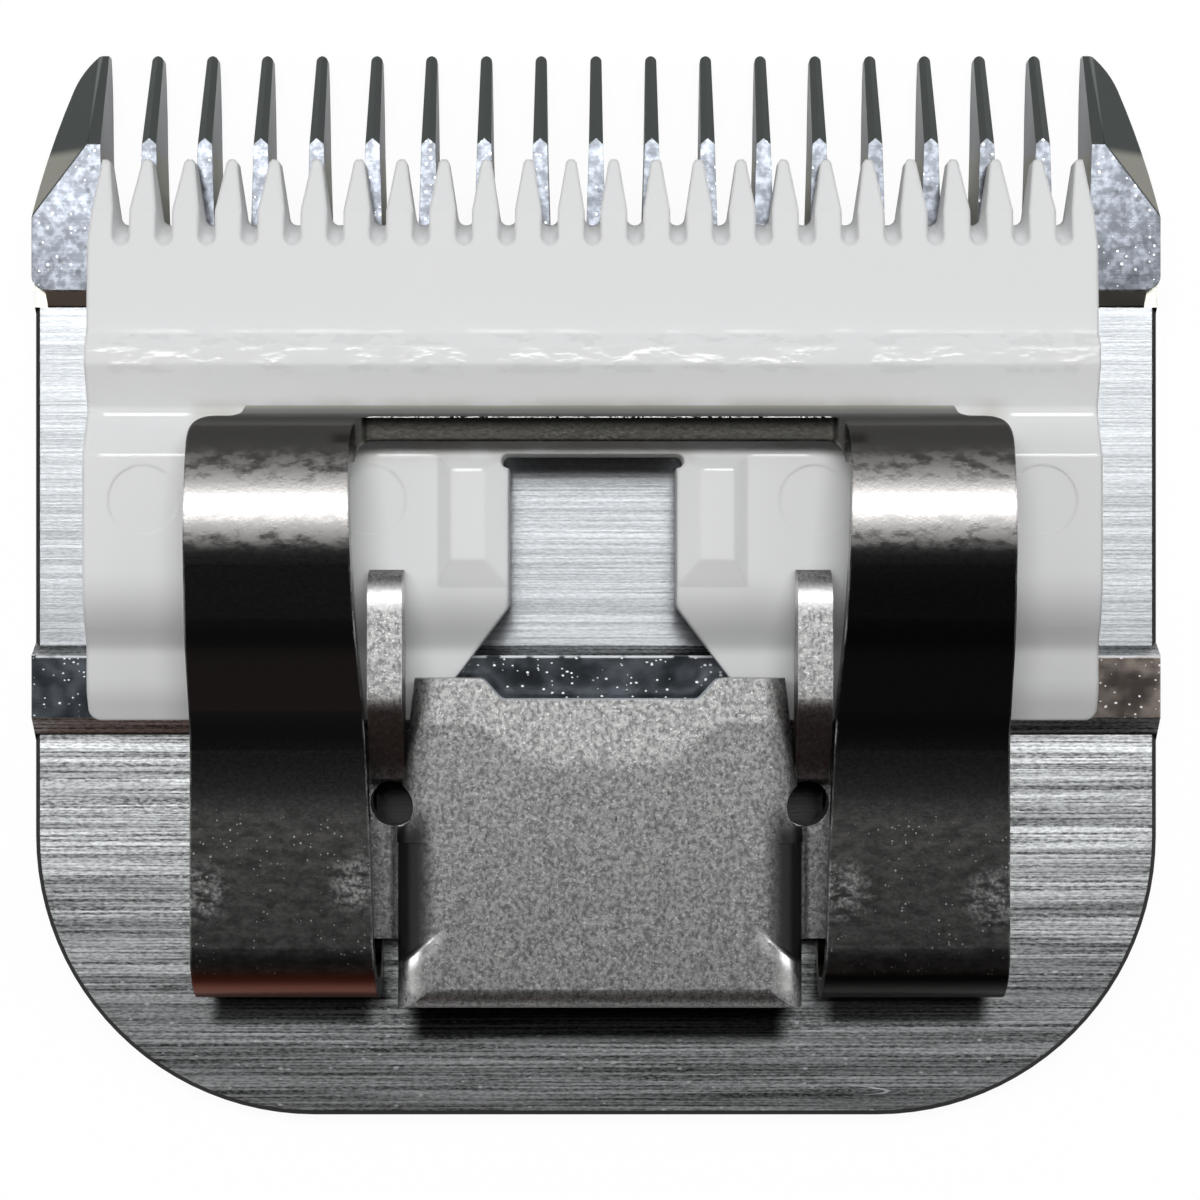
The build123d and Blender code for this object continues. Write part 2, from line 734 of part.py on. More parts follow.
# Screws
def makeScrew(x):
    """Slotted countersunk screw, put in from the skin side."""
    length = plateThickness + springThickness + socketThickness + screwEndPastFlange
    screw = Pos(0, 0, screwHeadRecess) * Cylinder(screwShankRadius, length - screwHeadRecess, align=fromBelow)
    coneHeight = screwHeadRadius - screwShankRadius
    rim = screwHeadHeight - coneHeight
    head = Cylinder(screwHeadRadius, rim, align=fromBelow)
    head += Pos(0, 0, rim) * Cone(screwHeadRadius, screwShankRadius, coneHeight, align=fromBelow)
    screw += Pos(0, 0, screwHeadRecess) * head
    screw -= Pos(0, 0, screwHeadRecess) * Box(4 * screwHeadRadius, screwSlotWidth, 2 * screwSlotDepth)
    tip = screw.edges().filter_by(GeomType.CIRCLE).sort_by(Axis.Z)[-1]
    screw = chamfer([tip], screwEndPastFlange * 0.8)
    return Pos(x, screwY, 0) * Rot(0, 0, screwTurn) * screw


def writeNode(name, solid):
    solids = solid.solids()
    print(name, len(solids), "solid(s)", round(solid.volume, 2), "mm3")
    shape = solids[0] if len(solids) == 1 else solid
    export_step(shape, os.path.join("parts", name + ".step"))


os.makedirs("parts", exist_ok=True)
writeNode("comb", makeComb())
writeNode("cutter", makeCutter())
writeNode("tension_spring", makeSpring())
writeNode("socket", makeSocket())
writeNode("screw_left", makeScrew(screwXs[0]))
writeNode("screw_right", makeScrew(screwXs[1]))
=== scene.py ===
import math
import bpy
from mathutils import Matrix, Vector


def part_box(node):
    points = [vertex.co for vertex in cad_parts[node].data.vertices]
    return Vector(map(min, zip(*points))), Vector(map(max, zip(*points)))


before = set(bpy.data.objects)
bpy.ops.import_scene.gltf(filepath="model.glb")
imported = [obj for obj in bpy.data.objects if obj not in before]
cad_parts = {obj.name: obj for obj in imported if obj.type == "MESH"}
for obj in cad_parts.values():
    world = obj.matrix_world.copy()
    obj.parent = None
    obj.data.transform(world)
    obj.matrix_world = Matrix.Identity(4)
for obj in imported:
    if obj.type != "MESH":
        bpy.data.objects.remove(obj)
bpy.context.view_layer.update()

# Looks, light and camera of a detachable hair clipper blade set.
# Inside the shaders a place is in millimetres of the row frame; all else is in metres.

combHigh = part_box("comb")[1]
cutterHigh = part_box("cutter")[1]
perMetre = 1000
combTip = combHigh.y * perMetre
cutterTip = cutterHigh.y * perMetre

# Distances back from the comb's tips to the ends of its ground faces
combPlaces = {
    "landFront": combTip - 4.32,
    "landRear": combTip - 10.62,
    "recessFront": combTip - 11.32,
    "recessRear": combTip - 26.08,
    "railFront": combTip - 26.50,
    "plateFront": combTip - 29.97,
    "plateRear": combTip - 46.60,
}

# Distances back from the cutter's tips to its ridge, its groove, its plateau and its rear shelf
cutterPlaces = {
    "ridgeFront": cutterTip - 7.65,
    "ridgeRear": cutterTip - 9.10,
    "grooveFront": cutterTip - 10.74,
    "grooveEnd": cutterTip - 11.06,
    "plateau": cutterTip - 12.90,
    "plateauEnd": cutterTip - 19.15,
    "rearShelf": cutterTip - 20.85,
}


# Shader helpers
def feed(tree, socket, value):
    if isinstance(value, bpy.types.NodeSocket):
        tree.links.new(value, socket)
    elif socket.type == "RGBA":
        socket.default_value = (*value, 1)
    else:
        socket.default_value = value


def add(tree, kind, inputs=None, **settings):
    made = tree.nodes.new(kind)
    for key, value in settings.items():
        setattr(made, key, value)
    for key, value in (inputs or {}).items():
        feed(tree, made.inputs[key], value)
    return made


def calc(tree, operation, *values):  # kept between 0 and 1
    inputs = dict(enumerate(values))
    return add(tree, "ShaderNodeMath", inputs, operation=operation, use_clamp=True).outputs[0]


def freeCalc(tree, operation, *values):
    return add(tree, "ShaderNodeMath", dict(enumerate(values)), operation=operation).outputs[0]


def allOf(tree, *masks):
    product = masks[0]
    for mask in masks[1:]:
        product = calc(tree, "MULTIPLY", product, mask)
    return product


def anyOf(tree, first, *masks):
    highest = first
    for mask in masks:
        highest = calc(tree, "MAXIMUM", highest, mask)
    return highest


def rise(tree, value, low, high):
    inputs = {"Value": value, "From Min": low, "From Max": high}
    return add(tree, "ShaderNodeMapRange", inputs, interpolation_type="SMOOTHSTEP").outputs[0]


def scaled(tree, value, low, high):
    inputs = {"Value": value, "To Min": low, "To Max": high}
    return add(tree, "ShaderNodeMapRange", inputs).outputs[0]


def band(tree, value, low, high, soft):
    enters = rise(tree, value, low - soft, low + soft)
    return allOf(tree, enters, rise(tree, value, high + soft, high - soft))


def spans(tree, value, ranges, soft=0.12):
    return anyOf(tree, 0.0, *(band(tree, value, low, high, soft) for low, high in ranges))


def area(tree, x, y, look):
    across = band(tree, x, *look["x"], look["softX"])
    return allOf(tree, across, band(tree, y, *look["y"], look["softY"]))


def tint(tree, factor, under, over):
    made = add(tree, "ShaderNodeMix", {0: factor}, data_type="RGBA")
    feed(tree, made.inputs[6], under)
    feed(tree, made.inputs[7], over)
    return made.outputs[2]


def shade(tree, colour, value):
    made = add(tree, "ShaderNodeMix", {0: 1.0}, data_type="RGBA", blend_type="MULTIPLY")
    feed(tree, made.inputs[6], colour)
    feed(tree, made.inputs[7], value)
    return made.outputs[2]


def level(tree, factor, under, over):
    made = add(tree, "ShaderNodeMix", {0: factor}, data_type="FLOAT")
    feed(tree, made.inputs[2], under)
    feed(tree, made.inputs[3], over)
    return made.outputs[0]


def darken(tree, colour, mask, share):  # the colour falls to this share of itself where the mask is 1
    return shade(tree, colour, scaled(tree, mask, 1.0, share))


def stretch(tree, vector, amounts):
    return add(tree, "ShaderNodeVectorMath", {0: vector, 1: amounts}, operation="MULTIPLY").outputs[0]


def resize(tree, vector, factor):
    return add(tree, "ShaderNodeVectorMath", {0: vector, "Scale": factor}, operation="SCALE").outputs[0]


def measure(tree, operation, first, second):
    return add(tree, "ShaderNodeVectorMath", {0: first, 1: second}, operation=operation).outputs["Value"]


def join(tree, x, y, z):
    return add(tree, "ShaderNodeCombineXYZ", {0: x, 1: y, 2: z}).outputs[0]


def split(tree, vector):
    return add(tree, "ShaderNodeSeparateXYZ", {0: vector}).outputs


def near(tree, spot, place, reach, core=0.3):
    return rise(tree, measure(tree, "DISTANCE", spot, place), reach, core * reach)


def noise(tree, vector, size, detail, roughness=0.5):
    inputs = {"Vector": vector, "Scale": 1 / size, "Detail": detail, "Roughness": roughness}
    return add(tree, "ShaderNodeTexNoise", inputs).outputs[0]


def surfaceNormal(tree):
    return add(tree, "ShaderNodeNewGeometry").outputs["Normal"]


# Effects that more than one material uses
floatKind = "NodeSocketFloat"
vectorKind = "NodeSocketVector"


def startGroup(name, inputs, outputs):
    tree = bpy.data.node_groups.new(name, "ShaderNodeTree")
    for label, kind in inputs.items():
        tree.interface.new_socket(name=label, in_out="INPUT", socket_type=kind)
    for label, kind in outputs.items():
        tree.interface.new_socket(name=label, in_out="OUTPUT", socket_type=kind)
    return tree, tree.nodes.new("NodeGroupInput").outputs, tree.nodes.new("NodeGroupOutput").inputs


def countedIn(tree, given, unit):  # the given place, counted in lengths of this input
    return resize(tree, given["Vector"], freeCalc(tree, "DIVIDE", 1.0, given[unit]))


def edgeRoundingGroup():
    tree, given, result = startGroup(
        "edgeRounding", {"Radius": floatKind}, {"Mask": floatKind, "Normal": vectorKind}
    )
    rounded = add(tree, "ShaderNodeBevel", {"Radius": given["Radius"]}, samples=2).outputs[0]
    cosine = measure(tree, "DOT_PRODUCT", rounded, surfaceNormal(tree))
    feed(tree, result["Mask"], rise(tree, cosine, 0.985, 0.86))
    feed(tree, result["Normal"], rounded)
    return tree


# Long fine lines along X crossed by short ticks, and wide faint streaks
brushLook = {
    "fineStretch": (0.008, 1.0, 0.3),
    "tickStretch": (0.45, 1.3, 0.3),
    "streakStretch": (0.003, 0.22, 0.1),
    "tickShare": 0.42,
    "detail": 2.0,
    "streakDetail": 1.5,
    "roughness": 0.6,
}


def brushGroup():
    look = brushLook
    tree, given, result = startGroup(
        "brushedLines",
        {"Vector": vectorKind, "Spacing": floatKind},
        {"Fine": floatKind, "Streak": floatKind},
    )
    where = countedIn(tree, given, "Spacing")
    lines = noise(tree, stretch(tree, where, look["fineStretch"]), 1.0, look["detail"], look["roughness"])
    ticks = noise(tree, stretch(tree, where, look["tickStretch"]), 1.0, look["detail"], look["roughness"])
    wide = stretch(tree, where, look["streakStretch"])
    streaks = noise(tree, wide, 1.0, look["streakDetail"], look["roughness"])
    lines = rise(tree, lines, 0.36, 0.64)
    ticks = rise(tree, ticks, 0.34, 0.66)
    feed(tree, result["Fine"], level(tree, look["tickShare"], lines, ticks))
    feed(tree, result["Streak"], rise(tree, streaks, 0.34, 0.66))
    return tree


# Round specks of mixed sizes, in this share of the cells
speckLook = {"smallest": 0.14, "largest": 0.42, "core": 0.6}


def speckGroup():
    tree, given, result = startGroup(
        "roundSpecks",
        {"Vector": vectorKind, "Size": floatKind, "Share": floatKind},
        {"Mask": floatKind},
    )
    where = countedIn(tree, given, "Size")
    cells = add(tree, "ShaderNodeTexVoronoi", {"Vector": where, "Scale": 1.0}).outputs
    pick = split(tree, cells["Color"])
    chosen = calc(tree, "LESS_THAN", pick[0], given["Share"])
    edge = scaled(tree, pick[1], speckLook["smallest"], speckLook["largest"])
    dot = rise(tree, cells["Distance"], edge, calc(tree, "MULTIPLY", edge, speckLook["core"]))
    feed(tree, result["Mask"], allOf(tree, dot, chosen))
    return tree


def grainGroup():
    tree, given, result = startGroup(
        "grain", {"Vector": vectorKind, "Size": floatKind}, {"Value": floatKind}
    )
    feed(tree, result["Value"], noise(tree, countedIn(tree, given, "Size"), 1.0, 2.5, 0.65))
    return tree


# Hair-thin lines along the contours of a stretched noise, in patches
scratchLook = {
    "stretch": (0.16, 1.0, 1.0),
    "line": (0.495, 0.505),
    "soft": 0.008,
    "patchSize": 4.0,
    "patchEdge": (0.52, 0.66),
}


def scratchGroup():
    look = scratchLook
    tree, given, result = startGroup(
        "handScratches", {"Vector": vectorKind, "Spacing": floatKind}, {"Mask": floatKind}
    )
    where = countedIn(tree, given, "Spacing")
    contour = noise(tree, stretch(tree, where, look["stretch"]), 1.0, 1.0)
    line = band(tree, contour, *look["line"], look["soft"])
    patch = rise(tree, noise(tree, where, look["patchSize"], 1.0), *look["patchEdge"])
    feed(tree, result["Mask"], allOf(tree, line, patch))
    return tree


edgeRounding = edgeRoundingGroup()
brushedLines = brushGroup()
roundSpecks = speckGroup()
grain = grainGroup()
handScratches = scratchGroup()
print("shader groups made")


def use(tree, group, **inputs):
    made = tree.nodes.new("ShaderNodeGroup")
    made.node_tree = group
    for key, value in inputs.items():
        feed(tree, made.inputs[key], value)
    return made.outputs


def specks(tree, vector, look):
    size, share = look
    return use(tree, roundSpecks, Vector=vector, Size=size, Share=share)["Mask"]


def grainAt(tree, vector, size):
    return use(tree, grain, Vector=vector, Size=size)["Value"]


def startMaterial(name):
    material = bpy.data.materials.new(name)
    material.use_nodes = True
    tree = material.node_tree
    tree.nodes.clear()
    shader = tree.nodes.new("ShaderNodeBsdfPrincipled")
    add(tree, "ShaderNodeOutputMaterial", {"Surface": shader.outputs[0]})
    spot = resize(tree, add(tree, "ShaderNodeTexCoord").outputs["Object"], perMetre)
    return material, tree, shader, spot


def finishShader(tree, shader, inputs):
    for key, value in inputs.items():
        feed(tree, shader.inputs[key], value)


def bump(tree, height, depth, normal):
    inputs = {"Strength": 1.0, "Distance": depth, "Height": height, "Normal": normal}
    return add(tree, "ShaderNodeBump", inputs).outputs[0]


def dress(node, material):
    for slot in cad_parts[node].material_slots:
        slot.material = material


# Comb: ground steel, with a lapped land and rail, a brushed recess and rear plate, and darker bevels
combLook = {
    "recess": (0.46, 0.48, 0.50),
    "land": (0.122, 0.132, 0.150),
    "plate": (0.475, 0.49, 0.495),
    "plateFall": 0.41,
    "bevel": (0.24, 0.265, 0.26),
    "endBevel": (0.10, 0.112, 0.11),
    "wall": (0.45, 0.46, 0.47),
    "step": (0.45, 0.45, 0.40),
    "rail": (0.30, 0.34, 0.385),
    "railRight": (0.80, 0.68, 0.60),
    "railEdge": (0.62, 0.63, 0.65),
    "glint": (0.90, 0.91, 0.93),
    "dark": (0.03, 0.03, 0.03),
    "topZ": (2.85, 2.95),
    "endToothX": 22.0,
    "lineSpacing": 0.105,
    "lineDepth": 0.000004,
    "lineShares": (0.16, 1.76),
    "streakShares": (0.68, 1.24),
    "recessLineHigh": 1.16,
    "recessLineLows": (0.80, 0.68),
    "recessStreaks": (0.88, 1.06),
    "smearSize": 1.6,
    "mottleSize": 0.42,
    "pits": (0.45, 0.40),
    "glints": (0.20, 0.20),
    "nicks": (0.20, 0.14),
    "dust": (0.15, 0.42),
    "speckStrength": 0.45,
    "nickStrength": 0.30,
    "landX": (-8.0, 22.0),
    "landRightShare": 0.78,
    "railX": (-14.0, 12.0),
    "railMiddleShare": 0.78,
    "edgeRadius": 0.00006,
    "holes": ((-8.93, -9.65, 2.35), (9.24, -9.65, 2.35)),
    "holeReach": 3.4,
    "scratches": ((12.4, -21.1, 2.35), (17.2, -20.0, 2.35)),
    "scratchReach": 2.0,
    "scratchSpacing": 0.9,
}

# Painted shadows on the plate: black behind the socket, and darker behind the spring's two bends
plateShades = (
    {"x": (-8.0, 8.2), "softX": 0.5, "y": (-20.05, -16.5), "softY": 0.35, "share": 0.05},
    {"x": (-16.7, -9.8), "softX": 0.4, "y": (-19.3, -17.0), "softY": 0.3, "share": 0.13},
    {"x": (10.1, 17.0), "softX": 0.4, "y": (-19.3, -17.0), "softY": 0.3, "share": 0.13},
)


def combFaces(tree, spot):
    x, y, z = split(tree, spot)
    facing = split(tree, surfaceNormal(tree))
    places = combPlaces
    upwards = rise(tree, facing[2], 0.93, 0.985)
    high = rise(tree, z, *combLook["topZ"])
    ahead = rise(tree, y, places["landRear"] + 0.1, places["landRear"] + 0.3)
    behind = rise(tree, y, places["landRear"], places["recessFront"])
    ledge = rise(tree, y, places["recessFront"] - 0.04, places["recessFront"] + 0.04)
    ledge = allOf(tree, ledge, rise(tree, y, places["landFront"], places["landFront"] - 0.5))
    plateFront = places["plateFront"]
    rimHeight = rise(tree, z, 2.45, 2.36)
    endX = combLook["endToothX"]
    return {
        "recess": allOf(tree, upwards, band(tree, y, places["recessRear"], places["recessFront"], 0.05)),
        "plate": allOf(tree, upwards, rise(tree, y, plateFront + 0.05, plateFront - 0.05)),
        "land": allOf(tree, upwards, high, rise(tree, y, places["landRear"] - 0.2, places["landRear"])),
        "rail": allOf(tree, upwards, high, rise(tree, y, places["railFront"] + 0.2, places["railFront"])),
        "bevel": allOf(tree, ahead, rise(tree, facing[2], 0.3, 0.5), rise(tree, facing[2], 0.97, 0.94)),
        "ends": anyOf(tree, rise(tree, x, endX, endX + 0.1), rise(tree, x, -endX, -endX - 0.1)),
        "wall": rise(tree, facing[2], 0.35, 0.2),
        "step": allOf(tree, ledge, rise(tree, z, 2.96, 2.9)),
        "rim": allOf(tree, band(tree, facing[2], 0.6, 0.85, 0.05), rimHeight, behind),
    }


def combMaterial():
    material, tree, shader, spot = startMaterial("combSteelLook")
    look, places = combLook, combPlaces
    x, y = split(tree, spot)[:2]
    faces = combFaces(tree, spot)
    lines = use(tree, brushedLines, Vector=spot, Spacing=look["lineSpacing"])
    # Plate: brushed lines and white nicks, with painted shade that darkens it towards the rear edge, and
    # painted shadows behind the socket and the bends
    plate = shade(tree, look["plate"], scaled(tree, lines["Fine"], *look["lineShares"]))
    plate = shade(tree, plate, scaled(tree, lines["Streak"], *look["streakShares"]))
    fall = rise(tree, y, places["plateRear"], places["plateFront"])
    plate = shade(tree, plate, scaled(tree, fall, look["plateFall"], 1.0))
    nicks = specks(tree, stretch(tree, spot, (0.55, 1.0, 1.0)), look["nicks"])
    plate = tint(tree, calc(tree, "MULTIPLY", nicks, look["nickStrength"]), plate, look["glint"])
    # Painted shadows behind the socket and the spring's bends
    for paintedShade in plateShades:
        plate = darken(tree, plate, area(tree, x, y, paintedShade), paintedShade["share"])
    # Recess: weaker lines, a little stronger towards the rear
    lowest = level(tree, rise(tree, y, 9.0, 2.0), *look["recessLineLows"])
    recess = shade(tree, look["recess"], scaled(tree, lines["Fine"], lowest, look["recessLineHigh"]))
    recess = shade(tree, recess, scaled(tree, lines["Streak"], *look["recessStreaks"]))
    # Land: smears and pits, painted shade on its right side, and painted highlights as glints
    smear = grainAt(tree, spot, look["smearSize"])
    mottle = grainAt(tree, spot, look["mottleSize"])
    smeared = rise(tree, smear, 0.35, 0.65)
    land = shade(tree, look["land"], scaled(tree, smeared, 0.75, 1.15))
    land = shade(tree, land, scaled(tree, rise(tree, mottle, 0.38, 0.66), 0.80, 1.5))
    land = darken(tree, land, rise(tree, x, *look["landX"]), look["landRightShare"])
    pits = calc(tree, "MULTIPLY", specks(tree, spot, look["pits"]), look["speckStrength"])
    glints = calc(tree, "MULTIPLY", specks(tree, spot, look["glints"]), look["speckStrength"])
    land = tint(tree, glints, tint(tree, pits, land, look["dark"]), look["glint"])
    # Rail: painted reflection, lighter and warmer on the right; painted shade in the middle; white dust;
    # and a painted highlight along its front edge
    rail = tint(tree, rise(tree, x, 6.0, 20.0), look["rail"], look["railRight"])
    rail = shade(tree, rail, scaled(tree, smeared, 0.55, 1.15))
    rail = darken(tree, rail, band(tree, x, *look["railX"], 3.0), look["railMiddleShare"])
    dust = specks(tree, stretch(tree, spot, (0.7, 1.0, 1.0)), look["dust"])
    dust = allOf(tree, dust, rise(tree, mottle, 0.40, 0.50))
    rail = tint(tree, dust, rail, look["glint"])
    lit = rise(tree, y, places["railFront"] - 0.14, places["railFront"] - 0.06)
    lit = allOf(tree, lit, rise(tree, smear, 0.4, 0.5))
    rail = tint(tree, lit, rail, look["railEdge"])
    # Faces together
    colour = tint(tree, faces["recess"], plate, recess)
    colour = tint(tree, faces["land"], colour, land)
    colour = tint(tree, faces["rail"], colour, rail)
    colour = tint(tree, faces["bevel"], colour, tint(tree, faces["ends"], look["bevel"], look["endBevel"]))
    colour = tint(tree, faces["wall"], colour, look["wall"])
    colour = tint(tree, faces["step"], colour, look["step"])
    # Painted shade: the chamfered rim of the plate is near black
    colour = tint(tree, faces["rim"], colour, look["dark"])
    # Painted shade: the plate is dark where it shows through the socket's relief holes
    for place in look["holes"]:
        colour = tint(tree, near(tree, spot, place, look["holeReach"]), colour, look["dark"])
    marks = use(tree, handScratches, Vector=spot, Spacing=look["scratchSpacing"])["Mask"]
    for place in look["scratches"]:
        scratched = allOf(tree, marks, near(tree, spot, place, look["scratchReach"]))
        colour = tint(tree, scratched, colour, look["glint"])
    polished = anyOf(tree, faces["land"], faces["rail"])
    roughness = level(tree, polished, 0.30, scaled(tree, smear, 0.12, 0.26))
    roughness = level(tree, allOf(tree, faces["rail"], anyOf(tree, dust, lit)), roughness, 0.42)
    roughness = level(tree, faces["wall"], roughness, 0.45)
    lined = anyOf(tree, faces["recess"], faces["plate"])
    height = calc(tree, "MULTIPLY", lines["Fine"], level(tree, lined, 0.1, 0.8))
    edges = use(tree, edgeRounding, Radius=look["edgeRadius"])
    finishShader(tree, shader, {
        "Base Color": colour,
        "Metallic": 1.0,
        "Roughness": roughness,
        "Anisotropic": calc(tree, "MULTIPLY", lined, 0.9),
        "Tangent": join(tree, 0.0, 1.0, 0.0),
        "Normal": bump(tree, height, look["lineDepth"], edges["Normal"]),
    })
    return material


# Cutter: white zirconia, glazed with oil along its ridge, stained beside the crossbar, and darker with
# painted shade to the right and rear
cutterLook = {
    "white": (0.93, 0.935, 0.94),
    "worn": (0.89, 0.905, 0.91),
    "wornStrength": 0.5,
    "stain": (0.50, 0.47, 0.36),
    "stainStrength": 0.45,
    "stainX": (-17.0, 17.3),
    "mottlingSize": 3.5,
    "filmSize": 0.9,
    "rightX": (-5.0, 20.0),
    "rightShare": 0.90,
    "rearY": (0.5, -4.5),
    "rearShare": 0.84,
    "slopeShare": 0.74,
    "edgeSpans": ((-21.0, -17.3), (17.6, 21.2)),
    "innerSpans": ((-9.3, -6.8), (6.5, 9.0)),
    "padFront": (4.62, 4.76),
    "padSpans": ((-6.05, -4.75), (4.5, 5.8)),
    "marks": (-19.10, -9.50, 9.20, 18.80),
    "markY": 3.42,
    "markRadius": 1.48,
    "markWidth": 0.08,
    "markStrength": 0.45,
    "roughness": 0.58,
    "oiledRoughness": 0.2,
    "coatRoughness": 0.05,
    "oilDepth": 0.0001,
    "edgeRadius": 0.00022,
    "litNormal": (0.0, 0.122, 0.993),
}


def cutterGlints(tree, spot, film):
    look, places = cutterLook, cutterPlaces
    x, y = split(tree, spot)[:2]
    grooveEdge = band(tree, y, places["grooveEnd"] - 0.10, places["grooveEnd"] + 0.06, 0.03)
    plateauEdge = band(tree, y, places["plateau"] - 0.02, places["plateau"] + 0.14, 0.08)
    outer = allOf(tree, anyOf(tree, grooveEdge, plateauEdge), spans(tree, x, look["edgeSpans"]))
    inner = band(tree, y, places["plateau"] - 0.02, places["plateau"] + 0.12, 0.07)
    inner = allOf(tree, inner, spans(tree, x, look["innerSpans"]))
    pads = allOf(tree, band(tree, y, *look["padFront"], 0.05), spans(tree, x, look["padSpans"]))
    glints = anyOf(tree, outer, inner, pads)
    flat = stretch(tree, spot, (1.0, 1.0, 0.0))
    ringEnds = (look["markRadius"] - look["markWidth"] / 2, look["markRadius"] + look["markWidth"] / 2)
    for markX in look["marks"]:
        away = measure(tree, "DISTANCE", flat, (markX, look["markY"], 0.0))
        ring = band(tree, away, *ringEnds, 0.03)
        glints = anyOf(tree, glints, allOf(tree, ring, rise(tree, film, 0.40, 0.60), look["markStrength"]))
    return glints


def cutterMaterial():
    material, tree, shader, spot = startMaterial("ceramicLook")
    look, places = cutterLook, cutterPlaces
    x, y = split(tree, spot)[:2]
    mottling = grainAt(tree, spot, look["mottlingSize"])
    film = grainAt(tree, stretch(tree, spot, (0.45, 1.0, 1.0)), look["filmSize"])
    ridge = band(tree, y, places["ridgeRear"] - 0.3, places["ridgeFront"] + 0.1, 0.15)
    oil = allOf(tree, ridge, rise(tree, film, 0.46, 0.58))
    groove = band(tree, y, places["plateau"] - 0.1, places["grooveFront"] + 0.2, 0.4)
    stains = allOf(tree, groove, rise(tree, mottling, 0.35, 0.60), band(tree, x, *look["stainX"], 0.5))
    # Painted shade: darker on the right behind the groove, towards the rear and on the slope down to the
    # rear shelf
    right = rise(tree, y, places["grooveFront"], places["plateau"])
    right = allOf(tree, rise(tree, x, *look["rightX"]), right)
    slope = rise(tree, y, places["plateauEnd"] + 1.6, places["rearShelf"])
    slope = allOf(tree, slope, rise(tree, y, places["rearShelf"] - 0.5, places["rearShelf"] + 0.1))
    colour = tint(tree, scaled(tree, mottling, 0.0, look["wornStrength"]), look["white"], look["worn"])
    colour = darken(tree, colour, right, look["rightShare"])
    colour = darken(tree, colour, rise(tree, y, *look["rearY"]), look["rearShare"])
    colour = darken(tree, colour, slope, look["slopeShare"])
    colour = tint(tree, calc(tree, "MULTIPLY", stains, look["stainStrength"]), colour, look["stain"])
    # Glossier plateau front; ground edges, pads and pressing marks catch the light
    glossy = band(tree, y, 0.8, places["grooveEnd"], 0.8)
    glints = cutterGlints(tree, spot, film)
    edges = use(tree, edgeRounding, Radius=look["edgeRadius"])
    glaze = add(tree, "ShaderNodeMix", {0: glints}, data_type="VECTOR")
    feed(tree, glaze.inputs[4], bump(tree, film, look["oilDepth"], edges["Normal"]))
    feed(tree, glaze.inputs[5], look["litNormal"])
    finishShader(tree, shader, {
        "Base Color": colour,
        "Roughness": level(tree, oil, look["roughness"], look["oiledRoughness"]),
        "IOR": 1.5,
        "Specular IOR Level": level(tree, glossy, 0.5, 1.0),
        "Coat Weight": anyOf(tree, oil, glints),
        "Coat Roughness": look["coatRoughness"],
        "Coat Normal": glaze.outputs[1],
        "Normal": edges["Normal"],
    })
    return material


# Tension spring: dark strip, smooth over its arch and tumbled behind it, worn bright along its edges
springLook = {
    "steel": (0.21, 0.205, 0.20),
    "dull": (0.17, 0.165, 0.16),
    "worn": (0.72, 0.72, 0.71),
    "shadeBlack": (0.006, 0.006, 0.005),
    "oily": (0.10, 0.098, 0.085),
    "frontLow": (0.39, 0.38, 0.28),
    "frontHigh": (0.045, 0.045, 0.04),
    "frontZ": (5.4, 6.5),
    "tumbledSize": 0.16,
    "patchSize": 2.4,
    "blotchSize": 0.40,
    "specks": (0.14, 0.20),
    "rearY": (-8.5, -10.5),
    "rearShare": 0.55,
    "rearMottle": (0.72, 1.36),
    "unlitX": (0.0, 5.0),
    "unlitY": (-6.5, 0.5),
    "rightShare": 0.55,
    "foldY": (-5.2, -7.2, -9.4),
    "foldShare": 0.40,
    "duskY": (-2.9, 1.4),
    "duskShare": 0.62,
    "tailsY": ((1.4, 2.7), (3.8, 5.4)),
    "tailRoughness": 0.36,
    "bendX": (-5.0, 5.0),
    "bendLeft": (0.17, 0.055, 0.036),
    "bendRight": (0.012, 0.011, 0.010),
    "scuffs": ((-16.6, -13.0, 7.9), (-9.9, -12.6, 7.9), (10.2, -12.9, 7.9), (16.6, -13.2, 7.9)),
    "scuffReach": 1.8,
    "footZ": (4.2, 3.6),
    "tumbledDepth": 0.000003,
    "edgeRadius": 0.00012,
}
crossbarTop = {"x": (-10.9, 11.2), "softX": 0.3, "y": (5.7, 7.2), "softY": 0.1}


